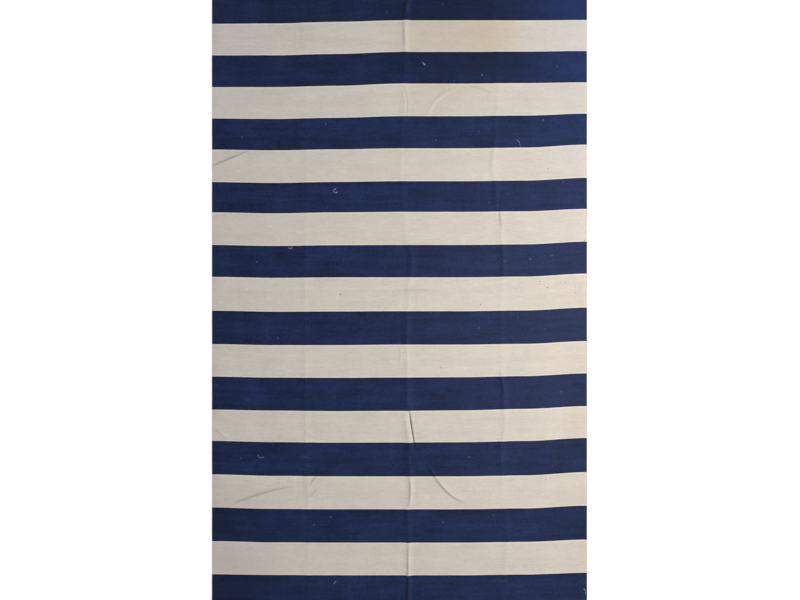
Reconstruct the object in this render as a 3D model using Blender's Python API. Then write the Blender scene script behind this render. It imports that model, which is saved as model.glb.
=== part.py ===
"""A flat-woven cotton dhurrie rug, lying open on the floor with the creases that folding left in it.

The cloth is one sheet. It is laid out in its woven form, a few rows of faces to each band of weft,
then the weft rows take their bow, the creases lift the cloth, and its thickness goes on top.
The underside lies on z = 0 wherever no crease lifts it.
"""

import math
from collections import namedtuple

import bmesh
import bpy

# Driving dimensions, in metres
MM = 0.001
RUG_WIDTH = 1.50
CLOTH_THICKNESS = 0.003

# The bands of weft from the far end to the near end, by their length in mm. They alternate, navy first
BAND_LENGTHS = (130, 126, 127, 130, 129, 131, 123, 132, 130, 135, 134, 131, 134, 126, 136, 131, 134, 130, 131)
RUG_LENGTH = sum(BAND_LENGTHS) * MM

# The mesh: rows of faces in a band, columns in the flat cloth beside the folds, cuts around a pucker
ROWS_PER_BAND = 3
COLUMNS_IN_PANELS = (5, 4, 4, 5)
PUCKER_CUTS = 4
PUCKER_STEPS = 16
# Columns across a fold, in parts of its flank's width
FOLD_COLUMNS = (-1.0, -0.6, -0.28, 0.0, 0.28, 0.6, 1.0)

# How far a weft row runs towards the far end from a straight line across the rug, in mm,
# at seven even places from the left selvedge to the right one. Along is in metres
Bow = namedtuple("Bow", "along places")
WEFT_BOW = (
    Bow(1.24, (-14, -12, -5, 0, 0, -1, 0)),
    Bow(0.86, (-14, -14, -9, 0, 0, 2, 5)),
    Bow(0.60, (-5, -8, -4, 0, 0, 3, 15)),
    Bow(0.34, (-2, -6, -2, 0, 0, 2, 12)),
    Bow(0.08, (2, -2, 0, 0, 0, 3, 15)),
    Bow(-0.19, (2, -2, -2, 0, 0, 3, 14)),
    Bow(-0.45, (5, 1, -1, 0, 2, 8, 19)),
    Bow(-0.71, (8, 2, 0, 0, 0, 4, 17)),
    Bow(-0.98, (6, 1, 0, 0, 0, 3, 12)),
    Bow(-1.24, (2, 1, 0, 0, 0, 3, 8)),
)

# The lengthwise folds: where the crest is, in metres, its rise, and its flanks' widths, in mm
Fold = namedtuple("Fold", "along across rise left right")
LEFT_FOLD = (
    Fold(1.24, -0.386, 1.6, 28, 26),
    Fold(1.10, -0.384, 1.4, 28, 26),
    Fold(0.92, -0.374, 1, 28, 28),
    Fold(0.68, -0.382, 1.2, 26, 30),
    Fold(0.41, -0.374, 1.2, 34, 30),
    Fold(0.15, -0.380, 1.8, 26, 30),
    Fold(-0.10, -0.376, 1.2, 28, 28),
    Fold(-0.38, -0.378, 2.2, 24, 28),
    Fold(-0.50, -0.376, 2, 24, 26),
    Fold(-0.65, -0.372, 2.2, 24, 28),
    Fold(-0.90, -0.362, 1.6, 26, 28),
    Fold(-1.24, -0.372, 1, 28, 28),
)
CENTRE_FOLD = (
    Fold(1.24, 0.034, 4.5, 22, 22),
    Fold(1.15, 0.028, 4, 20, 24),
    Fold(1.04, 0.022, 3.5, 22, 22),
    Fold(0.93, 0.020, 2.4, 26, 26),
    Fold(0.84, 0.018, 2.2, 24, 24),
    Fold(0.75, 0.022, 1.8, 26, 26),
    Fold(0.66, 0.010, 1.6, 26, 28),
    Fold(0.55, 0.004, 1.2, 28, 28),
    Fold(0.40, 0.010, 1, 28, 28),
    Fold(0.27, 0.022, 1.4, 28, 28),
    Fold(0.15, 0.050, 2.4, 26, 28),
    Fold(0.04, 0.036, 1.6, 26, 28),
    Fold(-0.12, 0.028, 3, 24, 28),
    Fold(-0.24, 0.030, 2, 24, 26),
    Fold(-0.38, 0.030, 3, 24, 28),
    Fold(-0.46, 0.034, 4, 24, 24),
    Fold(-0.56, 0.046, 4.5, 26, 24),
    Fold(-0.65, 0.036, 4, 26, 28),
    Fold(-0.75, 0.042, 4, 22, 26),
    Fold(-0.86, 0.034, 2.6, 24, 26),
    Fold(-0.96, 0.031, 3, 24, 26),
    Fold(-1.06, 0.031, 4, 22, 24),
    Fold(-1.24, 0.028, 4, 22, 24),
)
RIGHT_FOLD = (
    Fold(1.24, 0.382, 0.8, 26, 26),
    Fold(0.95, 0.386, 0.9, 26, 26),
    Fold(0.80, 0.392, 1.2, 26, 26),
    Fold(0.68, 0.384, 1.4, 24, 26),
    Fold(0.53, 0.372, 3, 22, 26),
    Fold(0.42, 0.386, 2.4, 22, 24),
    Fold(0.30, 0.402, 2.2, 22, 24),
    Fold(0.15, 0.416, 2.6, 24, 26),
    Fold(0.02, 0.408, 1.2, 26, 26),
    Fold(-0.15, 0.404, 1, 26, 26),
    Fold(-0.28, 0.406, 1.4, 24, 24),
    Fold(-0.39, 0.416, 3, 22, 24),
    Fold(-0.50, 0.422, 2.4, 22, 24),
    Fold(-0.62, 0.406, 2.4, 24, 26),
    Fold(-0.80, 0.414, 1.2, 26, 26),
    Fold(-0.95, 0.430, 1.6, 24, 26),
    Fold(-1.24, 0.414, 1, 26, 26),
)
FOLDS = (LEFT_FOLD, CENTRE_FOLD, RIGHT_FOLD)

# Short creases in the flat cloth, each an arc from one end through its middle to the other end,
# as (across, along) in metres, with its rise and its flank's width in mm
Pucker = namedtuple("Pucker", "start middle end rise flank")
PUCKERS = (
    Pucker((-0.76, 0.522), (-0.685, 0.552), (-0.60, 0.590), 3, 20),
    Pucker((0.114, 0.728), (0.150, 0.792), (0.226, 0.838), 3, 18),
    Pucker((0.28, 0.842), (0.32, 0.836), (0.365, 0.818), 2, 18),
    Pucker((-0.76, -0.505), (-0.715, -0.540), (-0.67, -0.580), 2.5, 20),
    Pucker((-0.69, -0.838), (-0.566, -0.788), (-0.42, -0.746), 3.5, 20),
    Pucker((-0.366, -0.792), (-0.328, -0.756), (-0.320, -0.706), 2.5, 18),
    Pucker((0.240, -0.818), (0.172, -0.760), (0.110, -0.680), 4, 20),
)

# The yarns: linear colour and roughness
NAVY_COTTON = ((0.017, 0.029, 0.080), 0.92)
CREAM_COTTON = ((0.64, 0.57, 0.49), 0.95)
SHARP_EDGE = math.radians(50)


def clear_scene():
    for obj in list(bpy.data.objects):
        bpy.data.objects.remove(obj)


def cotton(name, yarn):
    colour, roughness = yarn
    material = bpy.data.materials.new(name)
    material.use_nodes = True
    shader = material.node_tree.nodes["Principled BSDF"]
    shader.inputs["Base Color"].default_value = (*colour, 1.0)
    shader.inputs["Roughness"].default_value = roughness
    shader.inputs["Metallic"].default_value = 0.0
    return material


def ease(t):
    """0 to 1 with a level start and end."""
    t = min(max(t, 0.0), 1.0)
    return t * t * (3.0 - 2.0 * t)


def between(rows, along):
    """The two rows of a table that this place lies between, and how far it is from the first."""
    for first, second in zip(rows, rows[1:]):
        if along >= second.along:
            break
    return first, second, ease((first.along - along) / (first.along - second.along))


def weft_bow(across, along):
    """How far the weft row at this place runs off the straight line, in metres."""
    first, second, part = between(WEFT_BOW, along)
    last = len(first.places) - 1
    place = (across / RUG_WIDTH + 0.5) * last
    i = min(max(int(place), 0), last - 1)
    t = ease(place - i)
    far = first.places[i] + (first.places[i + 1] - first.places[i]) * t
    near = second.places[i] + (second.places[i + 1] - second.places[i]) * t
    return (far + (near - far) * part) * MM


def fold_at(fold, along):
    """The fold's crest, rise and flanks at this place along it, in metres."""
    first, second, part = between(fold, along)
    values = [a + (b - a) * part for a, b in zip(first[1:], second[1:])]
    return values[0], values[1] * MM, values[2] * MM, values[3] * MM


def crease_profile(t):
    """The height of a crease at t flanks from its crest: 1 at the crest, easing out to the flat cloth."""
    return max(0.0, 1.0 - abs(t)) ** 2


def fold_lift(fold, across, along):
    crest, rise, left, right = fold_at(fold, along)
    offset = across - crest
    return rise * crease_profile(offset / (left if offset < 0.0 else right))


def arc_points(pucker):
    """Points along the arc through a pucker's start, middle and end."""
    points = []
    for step in range(PUCKER_STEPS + 1):
        t = step / PUCKER_STEPS
        weights = (2 * (t - 0.5) * (t - 1), 4 * t * (1 - t), 2 * t * (t - 0.5))
        ends = (pucker.start, pucker.middle, pucker.end)
        points.append(tuple(sum(w * p[axis] for w, p in zip(weights, ends)) for axis in (0, 1)))
    return points


def nearest_on(points, across, along):
    """The distance to a row of points joined up, and how far along it the nearest place is, from 0 to 1."""
    best = (math.inf, 0.0)
    for i, ((ax, ay), (bx, by)) in enumerate(zip(points, points[1:])):
        dx, dy = bx - ax, by - ay
        t = ((across - ax) * dx + (along - ay) * dy) / (dx * dx + dy * dy)
        t = min(max(t, 0.0), 1.0)
        gap = math.hypot(across - ax - dx * t, along - ay - dy * t)
        best = min(best, (gap, (i + t) / (len(points) - 1)))
    return best


def pucker_lift(pucker, points, across, along):
    gap, part = nearest_on(points, across, along)
    return pucker.rise * MM * math.sin(math.pi * part) * crease_profile(gap / (pucker.flank * MM))


def lift(arcs, across, along):
    """How far the creases hold the cloth's underside off the floor."""
    rise = sum(fold_lift(fold, across, along) for fold in FOLDS)
    return rise + sum(pucker_lift(pucker, arcs[pucker], across, along) for pucker in PUCKERS)


def spaced(start, end, count):
    """Evenly spaced places between two ends, which are left out."""
    return [start + (end - start) * (i + 1) / (count + 1) for i in range(count)]


def row_places(along):
    """Where the columns cross a weft row: close together over each fold and wide in the panels."""
    places = [-RUG_WIDTH / 2]
    for fold, panel in zip(FOLDS, COLUMNS_IN_PANELS):
        crest = fold_at(fold, along)[0]
        crest, _, left, right = fold_at(fold, along + weft_bow(crest, along))
        over = [crest + part * (left if part < 0.0 else right) for part in FOLD_COLUMNS]
        places += spaced(places[-1], over[0], panel) + over
    return places + spaced(places[-1], RUG_WIDTH / 2, COLUMNS_IN_PANELS[-1]) + [RUG_WIDTH / 2]


def weft_rows():
    """The places of the mesh's rows along the rug, from the far end, and the band that each ends in."""
    along, rows = RUG_LENGTH / 2, [(RUG_LENGTH / 2, 0)]
    for band, length in enumerate(BAND_LENGTHS):
        for step in range(1, ROWS_PER_BAND + 1):
            rows.append((along - length * MM * step / ROWS_PER_BAND, band))
        along -= length * MM
    return rows


def woven_sheet(bm):
    """The cloth laid out flat and straight, with navy and cream faces in their bands."""
    rows = weft_rows()
    grid = [[bm.verts.new((x, along, 0.0)) for x in row_places(along)] for along, _ in rows]
    for far, near, (_, band) in zip(grid, grid[1:], rows[1:]):
        for i in range(len(far) - 1):
            face = bm.faces.new((near[i], near[i + 1], far[i + 1], far[i]))
            face.material_index = band % 2


def crosses(face, points, flank):
    """Whether a pucker along these points, with flanks of this width, may reach into the face."""
    middle = face.calc_center_median()
    size = max((vert.co - middle).length for vert in face.verts)
    return nearest_on(points, middle.x, middle.y)[0] < size + flank


def refine_around(bm, points, flank):
    """Makes the mesh finer where a pucker crosses it."""
    near = [face for face in bm.faces if crosses(face, points, flank)]
    coarse = {edge for face in near for edge in face.edges if edge.calc_length() > flank}
    bmesh.ops.subdivide_edges(bm, edges=list(coarse), cuts=PUCKER_CUTS, use_grid_fill=True)


def rug_mesh():
    bm = bmesh.new()
    woven_sheet(bm)
    arcs = {pucker: arc_points(pucker) for pucker in PUCKERS}
    for pucker, points in arcs.items():
        refine_around(bm, points, pucker.flank * MM)
    for vert in bm.verts:
        across, along = vert.co.x, vert.co.y + weft_bow(vert.co.x, vert.co.y)
        vert.co = (across, along, lift(arcs, across, along))
    bmesh.ops.recalc_face_normals(bm, faces=bm.faces)
    if sum(face.normal.z for face in bm.faces) < 0.0:
        bmesh.ops.reverse_faces(bm, faces=bm.faces)
    mesh = bpy.data.meshes.new("rug")
    bm.to_mesh(mesh)
    bm.free()
    return mesh


def build_rug():
    """The rug: the lifted sheet as its underside, with the cloth's thickness on top of it."""
    mesh = rug_mesh()
    mesh.materials.append(cotton("navy_cotton", NAVY_COTTON))
    mesh.materials.append(cotton("cream_cotton", CREAM_COTTON))
    rug = bpy.data.objects.new("rug", mesh)
    bpy.context.scene.collection.objects.link(rug)
    thickness = rug.modifiers.new("cloth_thickness", "SOLIDIFY")
    thickness.thickness = CLOTH_THICKNESS
    thickness.offset = 1.0
    mesh.shade_smooth()
    mesh.set_sharp_from_angle(angle=SHARP_EDGE)
    return rug


clear_scene()
build_rug()
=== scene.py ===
import math
import random

import bmesh
import bpy
import numpy as np
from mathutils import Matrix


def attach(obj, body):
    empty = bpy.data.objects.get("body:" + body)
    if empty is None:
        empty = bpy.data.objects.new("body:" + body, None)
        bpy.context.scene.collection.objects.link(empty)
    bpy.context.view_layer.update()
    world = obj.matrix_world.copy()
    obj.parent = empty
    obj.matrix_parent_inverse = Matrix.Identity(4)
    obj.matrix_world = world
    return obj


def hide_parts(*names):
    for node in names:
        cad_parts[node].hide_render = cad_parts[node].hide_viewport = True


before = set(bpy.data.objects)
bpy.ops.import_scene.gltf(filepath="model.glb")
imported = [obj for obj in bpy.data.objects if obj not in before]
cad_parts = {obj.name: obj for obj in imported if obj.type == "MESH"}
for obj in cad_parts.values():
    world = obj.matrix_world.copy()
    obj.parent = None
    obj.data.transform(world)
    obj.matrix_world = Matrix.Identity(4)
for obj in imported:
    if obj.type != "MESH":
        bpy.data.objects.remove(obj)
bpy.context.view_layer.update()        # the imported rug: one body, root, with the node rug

mm = 0.001
seed = 11
random.seed(seed)
noiseDraws = np.random.default_rng(seed)

# the woven layout: across is x from the middle, along is y from the middle towards the far end
weave = {
    "width": 1.50,
    "thickness": 3.0 * mm,
    # bands of weft from the far end to the near end, length in mm, navy first
    "bandLengths": (
        130, 126, 127, 130, 129, 131, 123, 132, 130, 135,
        134, 131, 134, 126, 136, 131, 134, 130, 131,
    ),
    "picksPerBand": 82,          # rows of weft beaten into each band
    "warpPitch": 3.2 * mm,
    # along in m, then how far the weft runs off straight at seven even places across, in mm
    "bow": (
        (1.24, -14, -12, -5, 0, 0, -1, 0),
        (0.86, -14, -14, -9, 0, 0, 2, 5),
        (0.60, -5, -8, -4, 0, 0, 3, 15),
        (0.34, -2, -6, -2, 0, 0, 2, 12),
        (0.08, 2, -2, 0, 0, 0, 3, 15),
        (-0.19, 2, -2, -2, 0, 0, 3, 14),
        (-0.45, 5, 1, -1, 0, 2, 8, 19),
        (-0.71, 8, 2, 0, 0, 0, 4, 17),
        (-0.98, 6, 1, 0, 0, 0, 3, 12),
        (-1.24, 2, 1, 0, 0, 0, 3, 8),
    ),
}
rugLength = sum(weave["bandLengths"]) * mm

# the lengthwise folds: along and the crest's across in m, rise, left flank and right flank in mm
folds = {
    "left": (
        (1.24, -0.386, 1.6, 28, 26),
        (1.10, -0.384, 1.4, 28, 26),
        (0.92, -0.374, 1, 28, 28),
        (0.68, -0.382, 1.2, 26, 30),
        (0.41, -0.374, 1.2, 34, 30),
        (0.15, -0.380, 1.8, 26, 30),
        (-0.10, -0.376, 1.2, 28, 28),
        (-0.38, -0.378, 2.2, 24, 28),
        (-0.50, -0.376, 2, 24, 26),
        (-0.65, -0.372, 2.2, 24, 28),
        (-0.90, -0.362, 1.6, 26, 28),
        (-1.24, -0.372, 1, 28, 28),
    ),
    "centre": (
        (1.24, 0.034, 4.5, 22, 22),
        (1.15, 0.028, 4, 20, 24),
        (1.04, 0.022, 3.5, 22, 22),
        (0.93, 0.020, 2.4, 26, 26),
        (0.84, 0.018, 2.2, 24, 24),
        (0.75, 0.022, 1.8, 26, 26),
        (0.66, 0.010, 1.6, 26, 28),
        (0.55, 0.004, 1.2, 28, 28),
        (0.40, 0.010, 1, 28, 28),
        (0.27, 0.022, 1.4, 28, 28),
        (0.15, 0.050, 2.4, 26, 28),
        (0.04, 0.036, 1.6, 26, 28),
        (-0.12, 0.028, 3, 24, 28),
        (-0.24, 0.030, 2, 24, 26),
        (-0.38, 0.030, 3, 24, 28),
        (-0.46, 0.034, 4, 24, 24),
        (-0.56, 0.046, 4, 26, 24),
        (-0.65, 0.038, 1.4, 30, 28),
        (-0.75, 0.042, 4, 22, 26),
        (-0.86, 0.034, 2.6, 24, 26),
        (-0.96, 0.034, 2.6, 24, 26),
        (-1.06, 0.034, 3, 22, 24),
        (-1.24, 0.033, 3.2, 22, 24),
    ),
    "right": (
        (1.24, 0.382, 0.8, 26, 26),
        (0.95, 0.386, 0.9, 26, 26),
        (0.80, 0.392, 1.2, 26, 26),
        (0.68, 0.384, 1.4, 24, 26),
        (0.53, 0.372, 3, 22, 26),
        (0.42, 0.386, 2.4, 22, 24),
        (0.30, 0.402, 2.2, 22, 24),
        (0.15, 0.416, 2.6, 24, 26),
        (0.02, 0.408, 1.2, 26, 26),
        (-0.15, 0.404, 1, 26, 26),
        (-0.28, 0.406, 1.4, 24, 24),
        (-0.39, 0.416, 3, 22, 24),
        (-0.50, 0.422, 2.4, 22, 24),
        (-0.62, 0.406, 2.4, 24, 26),
        (-0.80, 0.414, 1.2, 26, 26),
        (-0.95, 0.430, 1.6, 24, 26),
        (-1.24, 0.414, 1, 26, 26),
    ),
}

# short creases, each an arc: start, middle and end as (across, along) in m, then in mm its rise
# (below zero for a groove) and its flanks to the left and right of the way it runs, then how
# strongly painted shade darkens the cloth down its steep side
creases = (
    ((-0.76, 0.522), (-0.685, 0.552), (-0.60, 0.590), 3.6, 8, 24, 0.40),
    ((0.114, 0.728), (0.150, 0.792), (0.226, 0.838), 2.6, 16, 11, 0.0),
    ((0.28, 0.842), (0.32, 0.836), (0.365, 0.818), 2.6, 14, 9, 0.20),
    ((-0.76, -0.505), (-0.715, -0.540), (-0.67, -0.580), 2.2, 12, 12, 0.06),
    ((-0.674, -0.828), (-0.550, -0.783), (-0.412, -0.750), 3.8, 8, 24, 0.34),
    ((-0.372, -0.792), (-0.342, -0.780), (-0.322, -0.754), 3.4, 8, 8, 0.14),
    ((-0.356, -0.752), (-0.343, -0.727), (-0.326, -0.706), 1.8, 8, 10, 0.22),
    ((0.258, -0.814), (0.186, -0.770), (0.112, -0.670), 3.8, 8, 22, 0.42),
    # pinched places along the centre fold
    ((0.012, 1.128), (0.026, 1.170), (0.036, 1.225), 5.0, 8, 24, 0.90),
    ((0.008, 1.115), (0.020, 1.165), (0.031, 1.230), 0.6, 8, 8, 0.70),
    ((0.022, 1.000), (0.020, 1.050), (0.014, 1.108), 2.6, 8, 20, 0.20),
    ((0.024, 0.728), (0.029, 0.785), (0.013, 0.852), -2.2, 8, 8, 0.20),
    ((0.002, -0.264), (0.004, -0.225), (0.003, -0.188), 1.4, 8, 10, 0.05),
    ((0.062, -0.606), (0.048, -0.520), (0.036, -0.440), -5.2, 15, 6, 1.00),
    ((0.042, -0.604), (0.029, -0.520), (0.016, -0.440), 3.4, 28, 15, 0.0),
    ((-0.034, -0.678), (0.006, -0.650), (0.038, -0.638), 1.6, 8, 12, 0.10),
    ((0.041, -0.708), (0.039, -0.680), (0.034, -0.646), 1.5, 8, 12, 0.10),
    ((0.038, -0.836), (0.044, -0.775), (0.041, -0.712), 3.8, 8, 13, 0.26),
    ((0.034, -1.250), (0.034, -1.100), (0.036, -0.950), 3.2, 8, 22, 0.28),
    ((0.031, -1.300), (0.031, -1.200), (0.032, -1.100), 1.0, 8, 12, 0.90),
    # and beside the outer folds and the left edge
    ((0.407, 0.270), (0.399, 0.345), (0.408, 0.430), -2.2, 14, 7, 0.40),
    ((0.424, -0.402), (0.414, -0.360), (0.402, -0.288), 1.6, 9, 16, 0.20),
    ((-0.336, -0.560), (-0.356, -0.545), (-0.380, -0.526), 1.8, 9, 9, 0.03),
    ((-0.666, 0.865), (-0.662, 0.920), (-0.666, 0.972), 0.6, 16, 18, 0.0),
    ((-0.664, -0.170), (-0.668, 0.020), (-0.664, 0.210), 0.6, 16, 18, 0.0),
)

# soft cockling of the cloth between the folds: wave length across and along in m, rise in mm
ripples = ((0.052, 0.120, 0.22), (0.150, 0.260, 0.5))
rippleMix = {
    "waves": 9,                  # added up for each row above
    "crowding": (0.7, 1.3),      # how much closer or wider they lie across than it says
    "flattening": 2.1,           # under this sum they add up plainly, and over it they level off
}

clothMesh = {
    "rowsPerBand": 10,
    "foldColumns": (8, 16, 9),   # on each flank of the left, centre and right fold
    "foldReach": 1.1,            # of the flanks' width, covered by those columns
    "panelColumns": (18, 15, 15, 17),
    "creaseCuts": 4,
    "creaseFaces": 4.5 * mm,     # longest edge beside a crease
    "creaseMargin": 4,           # mm past its flanks, where the faces are still fine
    "crestRound": 0.10,          # of a flank, so that the crest isn't a knife edge
    "creaseTaper": 0.7,          # a power under 1, so that a crease keeps its rise almost to its ends
    # how the painted shade along a crease fades towards its ends
    "creaseShadeTaper": 0.5,
    "creaseShadeReach": 7.5 * mm,      # of the painted shade down a crease's steep side
    "creaseShadeOver": 0.4,            # of that, down its other side
    "hemDepth": 24 * mm,
    "hemThickness": 4.6 * mm,
    "hemStep": 5 * mm,
    "edgeRound": 0.9 * mm,
    "edgeSegments": 2,
    "edgeAngle": 60,             # degrees, from which an edge is rounded
    "smoothAngle": 50,
}


def eased(t):
    t = np.clip(t, 0, 1)
    return t * t * (3 - 2 * t)


def rowsAt(table, along):
    # every column of a table at these places along the rug, eased from row to row
    table, along = np.array(table, float), np.asarray(along, float)
    i = np.clip(np.searchsorted(-table[:, 0], -along) - 1, 0, len(table) - 2)
    t = eased((table[i, 0] - along) / (table[i, 0] - table[i + 1, 0]))[..., None]
    return table[i, 1:] * (1 - t) + table[i + 1, 1:] * t


def weftBow(across, along):
    bows = rowsAt(weave["bow"], along)
    place = (np.asarray(across) / weave["width"] + 0.5) * (bows.shape[-1] - 1)
    i = np.clip(place.astype(int), 0, bows.shape[-1] - 2)
    near = np.take_along_axis(bows, i[..., None], -1)[..., 0]
    far = np.take_along_axis(bows, i[..., None] + 1, -1)[..., 0]
    return (near + (far - near) * eased(place - i)) * mm


def bandPlace(along):
    # how many bands lie between the far end and this place of the woven cloth, kept a pick inside
    # the ends, so that their cut faces take the outer bands' yarn
    edges = rugLength / 2 - np.concatenate([[0], np.cumsum(weave["bandLengths"])]) * mm
    places = np.interp(-np.asarray(along), -edges, np.arange(len(edges)))
    pick = 1 / weave["picksPerBand"]
    return np.clip(places, pick, len(edges) - 1 - pick)


def creaseProfile(t):
    soft = clothMesh["crestRound"]
    return np.clip(1 + soft - np.sqrt(t * t + soft * soft), 0, 1) ** 2


def foldProfile(fold, across, along):
    # the rise of a fold's crest at these places in mm, and how much of it the cloth reaches there
    crest, rise, left, right = np.moveaxis(rowsAt(fold, along), -1, 0)
    offset = across - crest
    return rise, creaseProfile(offset / (np.where(offset < 0, left, right) * mm))


def arcPoints(start, middle, end, steps=16):
    t = np.linspace(0, 1, steps + 1)[:, None]
    weights = (2 * (t - 0.5) * (t - 1), 4 * t * (1 - t), 2 * t * (t - 0.5))
    return sum(w * np.array(p) for w, p in zip(weights, (start, middle, end)))


def nearestOn(points, across, along):
    # distance to a row of joined points, how far along it the nearest place is, and if it's on the left
    best, part = np.full(across.shape, np.inf), np.zeros(across.shape)
    leftOf = np.zeros(across.shape, bool)
    for i in range(len(points) - 1):
        ax, ay = points[i]
        dx, dy = points[i + 1] - points[i]
        t = np.clip(((across - ax) * dx + (along - ay) * dy) / (dx * dx + dy * dy), 0, 1)
        gap = np.hypot(across - ax - dx * t, along - ay - dy * t)
        nearer = gap < best
        best = np.where(nearer, gap, best)
        part = np.where(nearer, (i + t) / (len(points) - 1), part)
        leftOf = np.where(nearer, dx * (along - ay) > dy * (across - ax), leftOf)
    return best, part, leftOf


def creaseLift(crease, across, along):
    gap, part, leftOf = nearestOn(arcPoints(*crease[:3]), across, along)
    rise, left, right = crease[3:6]
    ends = np.sin(math.pi * part) ** clothMesh["creaseTaper"]
    return rise * mm * ends * creaseProfile(gap / (np.where(leftOf, left, right) * mm))


def drawWaves():
    count = rippleMix["waves"]
    crowding = noiseDraws.uniform(*rippleMix["crowding"], count)
    turn = noiseDraws.uniform(-1, 1, count)
    phase = noiseDraws.uniform(0, 2 * math.pi, count)
    return crowding, turn, phase


rippleWaves = [drawWaves() for _ in ripples]


def rippleLift(across, along):
    # a sum of slow waves in many directions, held above the floor
    total = 0
    for (waveAcross, waveAlong, rise), (crowding, turn, phase) in zip(ripples, rippleWaves):
        waves = 0
        for c, t, p in zip(crowding, turn, phase):
            waves = waves + np.sin(2 * math.pi * (across * c / waveAcross + along * t / waveAlong) + p)
        total = total + rise * mm * (0.5 + 0.5 * np.tanh(waves / rippleMix["flattening"]))
    return total


def clothLift(across, along):
    # the height of the cloth's underside over the floor
    across, along = np.asarray(across, float), np.asarray(along, float)
    total = rippleLift(across, along)
    for fold in folds.values():
        rise, share = foldProfile(fold, across, along)
        total = total + rise * mm * share
    for crease in creases:
        total = total + creaseLift(crease, across, along)
    return np.maximum(total, 0)


def crestShare(across, along):
    # 1 on the crest of a lengthwise fold, 0 away from the folds
    total = sum(foldProfile(fold, across, along)[1] for fold in folds.values())
    return np.clip(total, 0, 1)


def paintedCreaseShade(across, along):
    # 1 in the steep side of a short crease, where painted shade darkens the cloth's colour along the
    # crease
    steep = clothMesh["creaseShadeReach"]
    other = clothMesh["creaseShadeOver"] * steep
    total = np.zeros(across.shape)
    for crease in creases:
        gap, part, leftOf = nearestOn(arcPoints(*crease[:3]), across, along)
        rise, creaseShadeStrength = crease[3], crease[6]
        reach = np.where(leftOf == (rise > 0), steep, other)
        ends = np.sin(math.pi * part) ** clothMesh["creaseShadeTaper"]
        total = total + creaseShadeStrength * ends * np.clip(1 - gap / reach, 0, 1)
    return np.clip(total, 0, 1)


def placeObject(name, data):
    piece = bpy.data.objects.new(name, data)
    bpy.context.scene.collection.objects.link(piece)
    return piece


def select(piece):
    bpy.ops.object.select_all(action="DESELECT")
    piece.select_set(True)
    bpy.context.view_layer.objects.active = piece


def applyModifiers(piece):
    select(piece)
    for modifier in list(piece.modifiers):
        bpy.ops.object.modifier_apply(modifier=modifier.name)


def smoothFaces(piece):
    select(piece)
    bpy.ops.object.shade_smooth_by_angle(angle=math.radians(clothMesh["smoothAngle"]))


def columnsAt(along):
    # where the columns cross one row: close over each fold, wide in the panels
    half = weave["width"] / 2
    places = [np.array([-half])]
    columns = zip(folds.values(), clothMesh["foldColumns"], clothMesh["panelColumns"])
    for fold, spread, panel in columns:
        crest = rowsAt(fold, along)[0]
        crest, _, left, right = rowsAt(fold, along + weftBow(crest, along))
        t = np.linspace(-1, 1, 2 * spread + 1) * clothMesh["foldReach"]
        over = crest + t * np.where(t < 0, left, right) * mm
        places += [np.linspace(places[-1][-1], over[0], panel + 2)[1:-1], over]
    places.append(np.linspace(places[-1][-1], half, clothMesh["panelColumns"][-1] + 2)[1:])
    return np.concatenate(places)


def wovenRows():
    # rows of the mesh from the far end: the same number to each band, and two more at each hem's step
    rows, along = [rugLength / 2], rugLength / 2
    for length in weave["bandLengths"]:
        steps = np.arange(1, clothMesh["rowsPerBand"] + 1) / clothMesh["rowsPerBand"]
        rows += list(along - steps * length * mm)
        along -= length * mm
    hem = rugLength / 2 - clothMesh["hemDepth"]
    extra = [side * (hem - step) for side in (-1, 1) for step in (0, clothMesh["hemStep"])]
    return sorted(rows + extra, reverse=True)


def wovenSheet():
    bm = bmesh.new()
    grid = [[bm.verts.new((x, along, 0)) for x in columnsAt(along)] for along in wovenRows()]
    for far, near in zip(grid, grid[1:]):
        for i in range(len(far) - 1):
            bm.faces.new((near[i], near[i + 1], far[i + 1], far[i]))
    for crease in creases:
        points = arcPoints(*crease[:3])
        middles = np.array([face.calc_center_median()[:2] for face in bm.faces])
        gaps, _, leftOf = nearestOn(points, middles[:, 0], middles[:, 1])
        left, right = crease[4:6]
        reach = (np.where(leftOf, left, right) + clothMesh["creaseMargin"]) * mm
        beside = [face for face, gap, limit in zip(bm.faces, gaps, reach) if gap < limit]
        coarse = {e for face in beside for e in face.edges if e.calc_length() > clothMesh["creaseFaces"]}
        cuts = clothMesh["creaseCuts"]
        bmesh.ops.subdivide_edges(bm, edges=list(coarse), cuts=cuts, use_grid_fill=True)
    return bm


def giveThickness(cloth, woven):
    # thicker in the hems, with slightly rounded edges
    hem = cloth.vertex_groups.new(name="hem")
    depth = rugLength / 2 - np.abs(woven)
    weights = eased(1 + (clothMesh["hemDepth"] - depth) / clothMesh["hemStep"])
    for i in np.flatnonzero(weights > 0):
        hem.add([int(i)], float(weights[i]), "REPLACE")
    body = cloth.modifiers.new("body", "SOLIDIFY")
    body.thickness = clothMesh["hemThickness"]
    body.offset = 1
    body.vertex_group = "hem"
    body.thickness_vertex_group = weave["thickness"] / clothMesh["hemThickness"]
    edge = cloth.modifiers.new("edge", "BEVEL")
    edge.width = clothMesh["edgeRound"]
    edge.segments = clothMesh["edgeSegments"]
    edge.limit_method = "ANGLE"
    edge.angle_limit = math.radians(clothMesh["edgeAngle"])
    applyModifiers(cloth)
    cloth.vertex_groups.clear()


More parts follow.
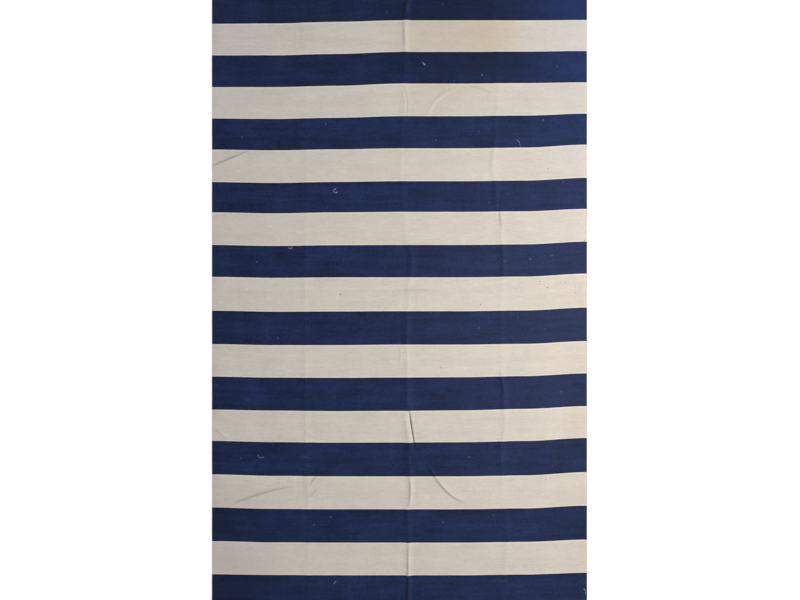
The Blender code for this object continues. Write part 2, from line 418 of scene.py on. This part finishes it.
def layCloth():
    # the sheet in its woven layout, then bowed and lifted, then given its thickness
    bm = wovenSheet()
    mesh = bpy.data.meshes.new("rugCloth")
    bm.to_mesh(mesh)
    bm.free()
    places = np.empty(len(mesh.vertices) * 3, np.float32)
    mesh.vertices.foreach_get("co", places)
    across, woven = places[0::3].astype(float), places[1::3].astype(float)
    corners = np.empty(len(mesh.loops), np.int32)
    mesh.loops.foreach_get("vertex_index", corners)
    uv = mesh.uv_layers.new(name="weave")
    uv.data.foreach_set("uv", np.stack([across[corners], bandPlace(woven)[corners]], -1).ravel())
    along = woven + weftBow(across, woven)
    # the crests of the folds, and the painted shade along the creases, as attributes for the material
    for name, share in (("crest", crestShare), ("creaseShade", paintedCreaseShade)):
        values = mesh.attributes.new(name, "FLOAT", "POINT")
        values.data.foreach_set("value", share(across, along).astype(np.float32))
    placed = np.stack([across, along, clothLift(across, along)], -1)
    mesh.vertices.foreach_set("co", placed.ravel())
    mesh.update()
    cloth = placeObject("rugCloth", mesh)
    giveThickness(cloth, woven)
    smoothFaces(cloth)
    return cloth


# the side edges, where the weft turns round the outer warp
selvedge = {
    "radius": 1.9 * mm,
    "sides": 8,
    "inset": 1.5 * mm,
    "ringsPerBand": 16,
    "warpPitch": 40 * mm,        # so wide that the rolled edge shows picks alone
}


def rollSelvedges():
    radius, sides = selvedge["radius"], selvedge["sides"]
    bm = bmesh.new()
    layer = bm.loops.layers.uv.new("weave")
    rings = len(weave["bandLengths"]) * selvedge["ringsPerBand"]
    woven = np.linspace(rugLength / 2, -rugLength / 2, rings + 1)
    bands = bandPlace(woven)
    turns = np.linspace(0, 2 * math.pi, sides, endpoint=False)
    step = 2 * math.pi * radius / sides
    for side in (-1, 1):
        edge = side * weave["width"] / 2
        across = np.full(woven.shape, side * (weave["width"] / 2 - selvedge["inset"]))
        along = woven + weftBow(across, woven)
        middle = clothLift(across, along) + radius
        tube = []
        for x, y, z in zip(across, along, middle):
            ring = [(x + radius * math.cos(t), y, z + radius * math.sin(t)) for t in turns]
            tube.append([bm.verts.new(p) for p in ring])
        for i in range(rings):
            far, near = tube[i], tube[i + 1]
            for j in range(sides):
                k = (j + 1) % sides
                face = bm.faces.new((near[j], far[j], far[k], near[k]))
                spots = ((j, i + 1), (j, i), (j + 1, i), (j + 1, i + 1))
                for loop, (around, row) in zip(face.loops, spots):
                    loop[layer].uv = (edge + around * step, bands[row])
        bm.faces.new(tube[0])
        bm.faces.new(reversed(tube[-1]))
    bmesh.ops.recalc_face_normals(bm, faces=bm.faces)
    mesh = bpy.data.meshes.new("selvedges")
    bm.to_mesh(mesh)
    bm.free()
    piece = placeObject("selvedges", mesh)
    smoothFaces(piece)
    return piece


# node helpers: a socket or a plain value can feed any input

def feed(tree, socket, value):
    if isinstance(value, bpy.types.NodeSocket):
        tree.links.new(value, socket)
    else:
        socket.default_value = value


def feedNamed(tree, node, values):
    for name, value in values.items():
        feed(tree, node.inputs[name], value)


def addNode(tree, kind, *inputs, **settings):
    node = tree.nodes.new(kind)
    for name, value in settings.items():
        setattr(node, name, value)
    for i, value in enumerate(inputs):
        if value is not None:
            feed(tree, node.inputs[i], value)
    return node


def calc(tree, operation, *inputs):
    return addNode(tree, "ShaderNodeMath", *inputs, operation=operation).outputs[0]


def vectorCalc(tree, operation, *inputs):
    # the node itself, because a length comes out of a socket of its own
    return addNode(tree, "ShaderNodeVectorMath", *inputs, operation=operation)


def blend(tree, part, a, b):
    # the mix node's colours are its sockets 6 and 7, and the blended one comes out of 2
    node = addNode(tree, "ShaderNodeMix", part, data_type="RGBA")
    feed(tree, node.inputs[6], a)
    feed(tree, node.inputs[7], b)
    return node.outputs[2]


def scaled(tree, colour, factor):
    node = vectorCalc(tree, "SCALE", colour)
    feed(tree, node.inputs["Scale"], factor)
    return node.outputs[0]


def addNoise(tree, vector, scale, detail, dimensions="3D"):
    # cloudy noise from 0 to 1, mostly close to 0.5
    node = addNode(tree, "ShaderNodeTexNoise", vector, noise_dimensions=dimensions)
    feedNamed(tree, node, {"Scale": scale, "Detail": detail})
    return node.outputs[0]


def addGroup(tree, group, values):
    node = addNode(tree, "ShaderNodeGroup", node_tree=group)
    feedNamed(tree, node, values)
    return node.outputs


def addBump(tree, height, strength, distance):
    bump = addNode(tree, "ShaderNodeBump")
    feedNamed(tree, bump, {"Strength": strength, "Distance": distance, "Height": height})
    return bump.outputs[0]


def newGroup(name, inputs, outputs):
    group = bpy.data.node_groups.new(name, "ShaderNodeTree")
    for label, kind, value in inputs:
        socket = group.interface.new_socket(name=label, in_out="INPUT", socket_type=kind)
        if value is not None:
            socket.default_value = value
    for label in outputs:
        group.interface.new_socket(name=label, in_out="OUTPUT", socket_type="NodeSocketFloat")
    return group, group.nodes.new("NodeGroupInput"), group.nodes.new("NodeGroupOutput")


# how the node groups draw the weave, its fuzz and the edges of the patches of stains, dust and painted
# light and shade
grain = {
    "warpShift": 4.0,            # m, so that the warps left of the middle are counted up too
    "warpCrown": 0.6,            # powers under 1, for full pips with narrow gaps
    "pickCrown": 0.8,
    "slubs": 24.0,               # changes of a pick's thickness for each m
    "fibreSize": 0.9 * mm,
    "patchSpots": (60, 200, 0),   # how often a patch's edge breaks up, for each m across and along
    "patchCore": 0.25,            # of its reach, within which a patch has its full strength
}


def makeWeftWeave():
    # weft-faced plain weave: pips of weft over each warp, those of the next warp half a pick lower
    group, given, out = newGroup(
        "weftWeave",
        (
            ("Weave", "NodeSocketVector", None),
            ("Picks", "NodeSocketFloat", weave["picksPerBand"]),
            ("Warp Pitch", "NodeSocketFloat", weave["warpPitch"]),
        ),
        ("Cream", "Height", "Yarn"),
    )
    across, bands, _ = addNode(group, "ShaderNodeSeparateXYZ", given.outputs["Weave"]).outputs
    shifted = calc(group, "ADD", across, grain["warpShift"])
    warps = calc(group, "DIVIDE", shifted, given.outputs["Warp Pitch"])
    column = calc(group, "FLOOR", warps)
    shift = calc(group, "MULTIPLY", calc(group, "MODULO", column, 2.0), 0.5)
    picks = calc(group, "ADD", calc(group, "MULTIPLY", bands, given.outputs["Picks"]), shift)
    row = calc(group, "FLOOR", picks)
    # the band that the middle of this pip lies in
    middle = calc(group, "SUBTRACT", calc(group, "ADD", row, 0.5), shift)
    band = calc(group, "FLOOR", calc(group, "DIVIDE", middle, given.outputs["Picks"]))
    cream = calc(group, "MODULO", band, 2.0)
    overWarp = calc(group, "SINE", calc(group, "MULTIPLY", calc(group, "FRACT", warps), math.pi))
    overPick = calc(group, "SINE", calc(group, "MULTIPLY", calc(group, "FRACT", picks), math.pi))
    warpCrown = calc(group, "POWER", overWarp, grain["warpCrown"])
    pickCrown = calc(group, "POWER", overPick, grain["pickCrown"])
    # each pick is one length of yarn, a little thicker or thinner here and there
    slubs = calc(group, "MULTIPLY", across, grain["slubs"])
    spot = addNode(group, "ShaderNodeCombineXYZ", slubs, middle).outputs[0]
    yarn = addNoise(group, spot, 1.0, 1.0, "2D")
    height = calc(group, "MULTIPLY", warpCrown, pickCrown)
    feedNamed(group, out, {"Cream": cream, "Height": height, "Yarn": yarn})
    return group


def makeCottonNap():
    # the short fuzz of spun cotton, as a fine uneven height
    group, given, out = newGroup(
        "cottonNap",
        (("Position", "NodeSocketVector", None), ("Fibre Size", "NodeSocketFloat", grain["fibreSize"])),
        ("Height",),
    )
    scale = calc(group, "DIVIDE", 1.0, given.outputs["Fibre Size"])
    feedNamed(group, out, {"Height": addNoise(group, given.outputs["Position"], scale, 2.0)})
    return group


def makeSoftPatch():
    # a patch about a place on the cloth, fading out to an edge that is broken up
    group, given, out = newGroup(
        "softPatch",
        (
            ("Position", "NodeSocketVector", None),
            ("Centre", "NodeSocketVector", None),
            ("Reach", "NodeSocketVector", None),
            ("Broken", "NodeSocketFloat", 0.8),
        ),
        ("Mask",),
    )
    place, centre, reach, broken = (given.outputs[i] for i in range(4))
    offset = vectorCalc(group, "SUBTRACT", place, centre).outputs[0]
    away = vectorCalc(group, "DIVIDE", offset, reach).outputs[0]
    gap = vectorCalc(group, "LENGTH", away).outputs["Value"]
    squeezed = vectorCalc(group, "MULTIPLY", place, grain["patchSpots"]).outputs[0]
    spots = calc(group, "SUBTRACT", addNoise(group, squeezed, 1.0, 2.0), 0.5)
    reached = calc(group, "ADD", gap, calc(group, "MULTIPLY", spots, broken))
    mask = addNode(group, "ShaderNodeMapRange", reached, 1.0, grain["patchCore"], 0.0, 1.0)
    mask.interpolation_type = "SMOOTHSTEP"
    feedNamed(group, out, {"Mask": mask.outputs[0]})
    return group


weftWeave, cottonNap, softPatch = makeWeftWeave(), makeCottonNap(), makeSoftPatch()

cottonLook = {
    "navy": (0.0098, 0.0212, 0.0751, 1),
    "cream": (0.706, 0.648, 0.578, 1),
    "roughness": 0.48,           # of the beaten face, which has a slight gloss
    "roughnessChange": 0.12,
    "shine": 0.38,
    "shineTint": (0.37, 0.43, 0.66, 1),
    # how much the painted shade along the creases' steep sides darkens the colour
    "creaseShadeDark": 0.96,
    # the picks next to a change of yarn carry a painted highlight on the cream and painted shade on the
    # navy: darker navy, paler cream
    "edgePicks": 4 * mm,
    "edgeHaloTone": (-0.45, 0.20),
    "gapShade": 0.26,             # painted shade between the pips: how much darker the cloth is there
    # unevenness of colour in navy and in cream, as a share of the colour
    "streak": (0.18, 0.030),
    "cloud": (0.23, 0.034),
    "speckle": (0.21, 0.028),
    # how often it changes: streaks for each m across and each band, the others for each m
    "broadStreaks": (2.4, 5.0, 0),
    "fineStreaks": (9.0, 26.0, 0),
    "clouds": (9.0, 9.0, 9.0),
    "speckles": (110.0, 110.0, 110.0),
    "noiseGain": 4,              # noise mostly stays within a quarter of its middle
    "yarnTone": 0.20,
    "wear": 0.04,                # how much paler the navy is on the crests of the folds
    "wearEven": 0.6,             # share of the wear that has no streaks
    "pipHeight": 0.34 * mm,
    "napHeight": 0.35,           # of a pip's height
    "bumpStrength": 0.7,
}

# patches of colour on the cotton, with painted light and shade in the rows that say so: centre and reach
# in m, colour, how much of it, how broken its edge is
creamStainsAndPaintedLight = (
    ((0.22, 1.03), (0.34, 0.30), (0.47, 0.36, 0.21, 1), 0.27, 0.3),
    ((0.37, 1.06), (0.17, 0.12), (0.60, 0.38, 0.20, 1), 0.20, 0.5),
    ((0.18, 0.74), (0.28, 0.20), (0.50, 0.40, 0.26, 1), 0.10, 0.3),
    # painted shade, darker in the near left corner
    ((-0.80, -1.14), (0.42, 0.60), (0.36, 0.33, 0.31, 1), 0.22, 0.3),
    # painted shade, darker along the left edge
    ((-0.78, -0.45), (0.10, 0.90), (0.36, 0.33, 0.31, 1), 0.09, 0.3),
    # painted shade, darker along the right edge of the near half
    ((0.82, -0.62), (0.22, 0.95), (0.36, 0.31, 0.25, 1), 0.11, 0.3),
    # painted cool light over the far right corner
    ((0.85, 1.10), (0.36, 1.20), (0.55, 0.58, 0.66, 1), 0.20, 0.3),
    # painted shade, greyer and cooler at the far left
    ((-0.80, 0.84), (0.34, 0.30), (0.58, 0.60, 0.66, 1), 0.12, 0.3),
    # painted shade of a faint crosswise crease
    ((-0.41, 1.08), (0.11, 0.018), (0.20, 0.17, 0.14, 1), 0.08, 1.0),
    # these three: painted shade along the crosswise middle fold
    ((0.06, 0.032), (0.085, 0.010), (0.16, 0.12, 0.09, 1), 0.14, 1.2),
    ((-0.10, 0.030), (0.35, 0.008), (0.20, 0.16, 0.12, 1), 0.05, 1.4),
    ((-0.58, 0.024), (0.16, 0.009), (0.20, 0.16, 0.12, 1), 0.07, 1.2),
    ((0.02, -0.284), (0.05, 0.008), (0.18, 0.15, 0.12, 1), 0.08, 1.6),
    ((-0.30, 0.420), (0.50, 0.020), (0.30, 0.26, 0.21, 1), 0.03, 1.2),
    ((0.30, -0.500), (0.30, 0.030), (0.36, 0.30, 0.22, 1), 0.03, 1.0),
)
navyDustAndPaintedLight = (
    # painted cool light over the far right corner
    ((0.80, 1.22), (0.42, 0.90), (0.010, 0.040, 0.200, 1), 0.20, 0.3),
    ((0.26, 1.08), (0.50, 0.40), (0.002, 0.004, 0.010, 1), 0.52, 0.3),
    ((-0.42, 1.10), (0.66, 0.42), (0.002, 0.004, 0.012, 1), 0.20, 0.3),
    # painted shade, darker in the near left corner
    ((-0.80, -1.14), (0.50, 0.60), (0.001, 0.003, 0.012, 1), 0.48, 0.3),
    # painted shade, darker along the right edge of the near half
    ((0.80, -0.66), (0.32, 1.00), (0.001, 0.004, 0.016, 1), 0.18, 0.3),
    # painted cool light along the right side
    ((0.72, 0.42), (0.34, 0.42), (0.010, 0.040, 0.200, 1), 0.09, 0.3),
    ((-0.565, -0.630), (0.004, 0.006), (0.30, 0.42, 0.70, 1), 0.30, 1.0),
    ((-0.557, -0.638), (0.006, 0.004), (0.30, 0.42, 0.70, 1), 0.34, 1.0),
    ((-0.546, -0.637), (0.005, 0.004), (0.30, 0.42, 0.70, 1), 0.28, 1.0),
    ((-0.374, -0.636), (0.026, 0.009), (0.30, 0.42, 0.70, 1), 0.03, 2.0),
    ((0.41, -0.640), (0.035, 0.022), (0.30, 0.42, 0.70, 1), 0.02, 1.8),
    ((0.40, -1.130), (0.040, 0.012), (0.30, 0.42, 0.70, 1), 0.03, 2.0),
    ((0.46, 0.140), (0.25, 0.040), (0.30, 0.42, 0.70, 1), 0.012, 1.6),
)


def newMaterial(name):
    material = bpy.data.materials.new(name)
    material.use_nodes = True
    return material, material.node_tree, material.node_tree.nodes["Principled BSDF"]


def clothMaterial(name, warpPitch):
    material, tree, shader = newMaterial(name)
    spot = addNode(tree, "ShaderNodeUVMap", uv_map="weave").outputs[0]
    place = addNode(tree, "ShaderNodeTexCoord").outputs["Object"]
    weaveInputs = {"Weave": spot, "Picks": weave["picksPerBand"], "Warp Pitch": warpPitch}
    cream, pips, yarn = addGroup(tree, weftWeave, weaveInputs)
    navy = calc(tree, "SUBTRACT", 1.0, cream)

    def noise(vector, stretch, detail):
        squeezed = vectorCalc(tree, "MULTIPLY", vector, stretch).outputs[0]
        return calc(tree, "SUBTRACT", addNoise(tree, squeezed, 1.0, detail), 0.5)

    def ofYarn(inNavy, inCream):
        return calc(tree, "MULTIPLY_ADD", cream, inCream - inNavy, inNavy)

    broad = noise(spot, cottonLook["broadStreaks"], 2.0)
    fine = noise(spot, cottonLook["fineStreaks"], 2.0)
    streaks = calc(tree, "ADD", broad, fine)
    cloud = noise(place, cottonLook["clouds"], 3.0)
    speckle = noise(place, cottonLook["speckles"], 1.0)
    tone = 1.0
    for value, kind in ((streaks, "streak"), (cloud, "cloud"), (speckle, "speckle")):
        amount = ofYarn(*(cottonLook["noiseGain"] * share for share in cottonLook[kind]))
        tone = calc(tree, "ADD", tone, calc(tree, "MULTIPLY", value, amount))
    crest = addNode(tree, "ShaderNodeAttribute", attribute_name="crest").outputs["Fac"]
    streaky = calc(tree, "ADD", fine, cottonLook["wearEven"])
    worn = calc(tree, "MULTIPLY", calc(tree, "MULTIPLY", crest, navy), streaky)
    tone = calc(tree, "MULTIPLY_ADD", worn, cottonLook["wear"], tone)
    yarnTone = calc(tree, "MULTIPLY", calc(tree, "SUBTRACT", yarn, 0.5), cottonLook["yarnTone"])
    # painted shade between the pips
    gaps = calc(tree, "MULTIPLY", calc(tree, "SUBTRACT", 1.0, pips), cottonLook["gapShade"])
    tone = calc(tree, "SUBTRACT", calc(tree, "ADD", tone, yarnTone), gaps)
    # painted shade along the creases' steep sides, darkening the colour
    creaseShade = addNode(tree, "ShaderNodeAttribute", attribute_name="creaseShade").outputs["Fac"]
    creaseShading = calc(tree, "SUBTRACT", 1.0, calc(tree, "MULTIPLY", creaseShade, cottonLook["creaseShadeDark"]))
    tone = calc(tree, "MULTIPLY", tone, creaseShading)
    # painted highlight on the cream and painted shade on the navy, in the picks next to each change of
    # yarn
    inBand = calc(tree, "FRACT", addNode(tree, "ShaderNodeSeparateXYZ", spot).outputs[1])
    toEdge = calc(tree, "MINIMUM", inBand, calc(tree, "SUBTRACT", 1.0, inBand))
    edgeShare = cottonLook["edgePicks"] * len(weave["bandLengths"]) / rugLength
    atEdge = calc(tree, "LESS_THAN", toEdge, edgeShare)
    paintedEdgeHalo = calc(tree, "MULTIPLY", atEdge, ofYarn(*cottonLook["edgeHaloTone"]))
    tone = calc(tree, "MULTIPLY", tone, calc(tree, "ADD", paintedEdgeHalo, 1.0))
    colour = scaled(tree, blend(tree, cream, cottonLook["navy"], cottonLook["cream"]), tone)
    # stains, dust and painted light and shade, patch by patch, each on its own yarn
    for stainAndLightPatches, yarnMask in ((creamStainsAndPaintedLight, cream), (navyDustAndPaintedLight, navy)):
        for centre, reach, patchColour, amount, broken in stainAndLightPatches:
            patchInputs = {
                "Position": place,
                "Centre": (*centre, 0),
                "Reach": (*reach, 1),
                "Broken": broken,
            }
            mask = calc(tree, "MULTIPLY", addGroup(tree, softPatch, patchInputs)["Mask"], yarnMask)
            colour = blend(tree, calc(tree, "MULTIPLY", mask, amount), colour, patchColour)

    nap = addGroup(tree, cottonNap, {"Position": place})["Height"]
    raised = calc(tree, "MULTIPLY", pips, calc(tree, "ADD", yarn, 0.5))
    height = calc(tree, "MULTIPLY_ADD", nap, cottonLook["napHeight"], raised)
    rough = calc(tree, "MULTIPLY_ADD", cloud, cottonLook["roughnessChange"], cottonLook["roughness"])
    feedNamed(tree, shader, {
        "Base Color": colour,
        "Roughness": rough,
        "Specular IOR Level": cottonLook["shine"],
        "Specular Tint": cottonLook["shineTint"],
        "Normal": addBump(tree, height, cottonLook["bumpStrength"], cottonLook["pipHeight"]),
    })
    return material


cloth = layCloth()
cloth.data.materials.append(clothMaterial("bandedCotton", weave["warpPitch"]))
triangles = sum(len(face.vertices) - 2 for face in cloth.data.polygons)
print("cloth laid:", triangles, "triangles")

edges = rollSelvedges()
edges.data.materials.append(clothMaterial("selvedgeCotton", selvedge["warpPitch"]))
print("selvedges rolled:", len(edges.data.polygons), "faces")

# loose cotton caught in the weave: places in m, a speck's size and a thread's radius in mm
lint = {
    "pale": (0.56, 0.69, 0.96, 1),
    "fuzz": (0.40, 0.50, 0.92, 1),
    "dark": (0.11, 0.085, 0.065, 1),
    "fuzzSize": (1.2, 2.7),
    "fuzzHeight": 0.45,          # of its size
    "speckHeight": 0.20,
    "speckStretch": (0.7, 1.5),
    "speckSunk": 0.1 * mm,       # its middle under the cloth's face
    "threadSwell": (0.6, 1.1),   # of its radius, from point to point
    "threadSunk": -0.5 * mm,     # below zero, so its middle lies over the cloth's face
    "fibreSize": 0.5 * mm,
    "toneRange": 0.5,
    "toneLeast": 0.75,
    "roughness": 0.95,
    "shine": 0.15,
    "bumpStrength": 0.6,
    "bumpHeight": 0.3 * mm,
    "onNavy": (
        (-0.050, 1.144), (0.174, 1.176), (0.330, 0.892), (0.630, 0.924), (0.218, 0.870),
        (-0.294, 0.696), (0.318, 0.664), (0.146, 0.632), (-0.630, 0.644), (0.574, 0.712),
        (0.086, 0.450), (0.358, 0.380), (0.434, 0.416), (0.654, 0.464), (-0.570, 0.144),
        (0.214, 0.104), (0.418, 0.148), (0.522, 0.156), (0.610, 0.170), (-0.486, -0.160),
        (-0.434, -0.160), (-0.630, -0.076), (0.318, -0.120), (0.526, -0.124), (0.582, -0.124),
        (0.474, -0.080), (-0.262, -0.396), (0.646, -0.376), (-0.634, -0.640), (0.278, -0.636),
        (0.610, -0.672), (-0.274, -0.876), (0.174, -0.896), (-0.342, -0.908), (0.378, -0.868),
    ),
    "onCream": (
        (0.594, 0.518, 3.8), (0.740, 0.230, 4.4), (-0.236, 0.014, 5.2), (0.316, 0.022, 3.8),
        (0.560, 0.066, 3.6), (0.592, 0.042, 4.4), (0.664, 0.062, 3.2), (0.704, 0.046, 3.4),
        (0.704, 0.022, 2.8), (0.724, 0.050, 2.8), (0.464, 0.038, 2.8), (-0.028, 0.022, 3.0),
        (0.324, -0.026, 4.6), (-0.164, -0.018, 2.8), (0.164, -0.278, 3.0), (0.722, -0.290, 2.8),
        (0.208, -0.518, 3.0), (0.586, -0.724, 4.0),
    ),
    "threads": (
        (1.00, ((0.091, 0.944), (0.096, 0.938), (0.103, 0.931))),
        (0.66, ((-0.254, 0.437), (-0.264, 0.429), (-0.257, 0.421), (-0.247, 0.424))),
        (0.45, ((-0.443, 0.203), (-0.437, 0.196), (-0.425, 0.213))),
        (0.36, ((0.469, 0.633), (0.479, 0.622), (0.483, 0.606))),
        (0.50, ((-0.262, -1.144), (-0.259, -1.138), (-0.254, -1.134))),
        (0.55, ((0.737, -1.162), (0.743, -1.172), (0.744, -1.184))),
    ),
}


def topOf(x, y, sunk):
    # a place on the cloth's upper face, or that far under it
    return (x, y, float(clothLift(np.array(x), np.array(y))) + weave["thickness"] - sunk)


def joined(name, pieces, material):
    bpy.ops.object.select_all(action="DESELECT")
    for piece in pieces:
        piece.select_set(True)
    bpy.context.view_layer.objects.active = pieces[0]
    bpy.ops.object.join()
    bpy.ops.object.transform_apply(location=True, rotation=True, scale=True)
    bpy.ops.object.shade_smooth()
    piece = bpy.context.object
    piece.name = name
    piece.data.materials.clear()
    piece.data.materials.append(material)
    return piece


def scatterNeps(name, places, height, material):
    # one flattened lump of fibre, copied to each place
    bpy.ops.object.select_all(action="DESELECT")
    bpy.ops.mesh.primitive_ico_sphere_add(subdivisions=2, radius=0.5)
    model = bpy.context.object
    neps = []
    for x, y, size in places:
        nep = model.copy()
        nep.data = model.data.copy()
        bpy.context.scene.collection.objects.link(nep)
        nep.location = topOf(x, y, lint["speckSunk"])
        nep.scale = [size * mm * part for part in (random.uniform(*lint["speckStretch"]), 1.0, height)]
        nep.rotation_euler = (0, 0, random.uniform(0, math.pi))
        neps.append(nep)
    bpy.data.objects.remove(model)
    return joined(name, neps, material)


def layThreads(material):
    threads = []
    for radius, points in lint["threads"]:
        line = bpy.data.curves.new("thread", "CURVE")
        line.dimensions = "3D"
        line.bevel_depth = radius * mm
        line.bevel_resolution = 2
        line.use_fill_caps = True
        spline = line.splines.new("BEZIER")
        spline.bezier_points.add(len(points) - 1)
        for point, (x, y) in zip(spline.bezier_points, points):
            point.co = topOf(x, y, lint["threadSunk"])
            point.handle_left_type = point.handle_right_type = "AUTO"
            point.radius = random.uniform(*lint["threadSwell"])
        thread = placeObject("thread", line)
        select(thread)
        bpy.ops.object.convert(target="MESH")
        threads.append(thread)
    return joined("looseThreads", threads, material)


def lintMaterial(name, colour):
    material, tree, shader = newMaterial(name)
    place = addNode(tree, "ShaderNodeTexCoord").outputs["Object"]
    nap = addGroup(tree, cottonNap, {"Position": place, "Fibre Size": lint["fibreSize"]})["Height"]
    tone = calc(tree, "MULTIPLY_ADD", nap, lint["toneRange"], lint["toneLeast"])
    feedNamed(tree, shader, {
        "Base Color": scaled(tree, colour[:3], tone),
        "Roughness": lint["roughness"],
        "Specular IOR Level": lint["shine"],
        "Normal": addBump(tree, nap, lint["bumpStrength"], lint["bumpHeight"]),
    })
    return material


fuzz = [(x, y, random.uniform(*lint["fuzzSize"])) for x, y in lint["onNavy"]]
loose = [
    scatterNeps("paleNeps", fuzz, lint["fuzzHeight"], lintMaterial("paleFuzz", lint["fuzz"])),
    scatterNeps("darkNeps", lint["onCream"], lint["speckHeight"], lintMaterial("darkLint", lint["dark"])),
    layThreads(lintMaterial("paleLint", lint["pale"])),
]
print("loose fibres laid:", sum(len(piece.data.polygons) for piece in loose), "faces")

for piece in (cloth, edges, *loose):
    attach(piece, "root")
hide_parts("rug")

# the studio: a pale floor, a broad light high on the right, a small cool one from a window beyond
# it, and a sky that is dim overhead
studio = {
    "floorSize": 40.0,
    "floorDrop": 0.2 * mm,
    "floorColour": (0.93, 0.93, 0.93, 1),
    "floorGrain": 60.0,
    "floorChange": 0.01,
    "floorRoughness": 0.95,
    "floorShine": 0.1,
    "floorGlow": 0.42,
    "skyColour": (0.875, 0.915, 1.0, 1),
    "skyStrength": 1.075,
    "zenithStrength": 0.08,
    "zenithEdge": (0.55, 0.80),  # height of the sky's direction where it starts and ends dimming
}
studioLights = (
    # name, place, aimed at, width, length, watts, colour
    ("sideLight", (1.9, -0.05, 2.5), (0.0, 0.0, 0.0), 0.9, 1.8, 74.0, (1.0, 0.92, 0.775)),
    ("windowLight", (1.0, 1.5, 0.9), (0.7, 1.1, 0.0), 0.5, 0.5, 1.6, (0.64, 0.80, 1.0)),
)


def layFloor():
    bpy.ops.object.select_all(action="DESELECT")
    drop = (0, 0, -studio["floorDrop"])
    bpy.ops.mesh.primitive_plane_add(size=studio["floorSize"], location=drop)
    floor = bpy.context.object
    floor.name = "floor"
    bpy.ops.object.transform_apply(location=True, rotation=True, scale=True)
    material, tree, shader = newMaterial("paleFloor")
    place = addNode(tree, "ShaderNodeTexCoord").outputs["Object"]
    change = studio["floorChange"]
    noise = addNoise(tree, place, studio["floorGrain"], 2.0)
    tone = calc(tree, "MULTIPLY_ADD", noise, change, 1 - change / 2)
    feedNamed(tree, shader, {
        "Base Color": scaled(tree, studio["floorColour"][:3], tone),
        "Roughness": studio["floorRoughness"],
        "Specular IOR Level": studio["floorShine"],
        "Emission Color": (1, 1, 1, 1),
        "Emission Strength": studio["floorGlow"],
    })
    floor.data.materials.append(material)


def hangLights():
    for name, place, target, width, length, watts, colour in studioLights:
        light = bpy.data.lights.new(name, "AREA")
        light.shape = "RECTANGLE"
        light.size, light.size_y = width, length
        light.energy, light.color = watts, colour
        lamp = placeObject(name, light)
        lamp.location = place
        lamp.visible_camera = False
        aim = [b - a for a, b in zip(place, target)]
        tilt = math.acos(-aim[2] / math.hypot(*aim))
        lamp.rotation_euler = (tilt, 0, math.atan2(aim[1], aim[0]) - math.pi / 2)


def paintSky():
    sky = bpy.data.worlds.new("sky")
    bpy.context.scene.world = sky
    sky.use_nodes = True
    tree = sky.node_tree
    direction = addNode(tree, "ShaderNodeTexCoord").outputs["Generated"]
    up = addNode(tree, "ShaderNodeSeparateXYZ", direction).outputs["Z"]
    strengths = studio["skyStrength"], studio["zenithStrength"]
    dim = addNode(tree, "ShaderNodeMapRange", up, *studio["zenithEdge"], *strengths)
    dim.interpolation_type = "SMOOTHSTEP"
    background = {"Color": studio["skyColour"], "Strength": dim.outputs[0]}
    feedNamed(tree, tree.nodes["Background"], background)


layFloor()
hangLights()
paintSky()
print("studio built")

# straight above the rug, which runs out of the picture at both ends
view = {
    "middle": (0.002, -0.008),
    "height": 2.4,
    "seenWidth": 3.2,            # of the rug's plane, from side to side of the picture
    "sensor": 36.0,              # mm
}
camera = placeObject("camera", bpy.data.cameras.new("camera"))
camera.location = (*view["middle"], view["height"])
camera.data.sensor_width = view["sensor"]
camera.data.lens = view["sensor"] * (view["height"] - weave["thickness"]) / view["seenWidth"]
bpy.context.scene.camera = camera
bpy.context.scene.view_settings.view_transform = "Standard"
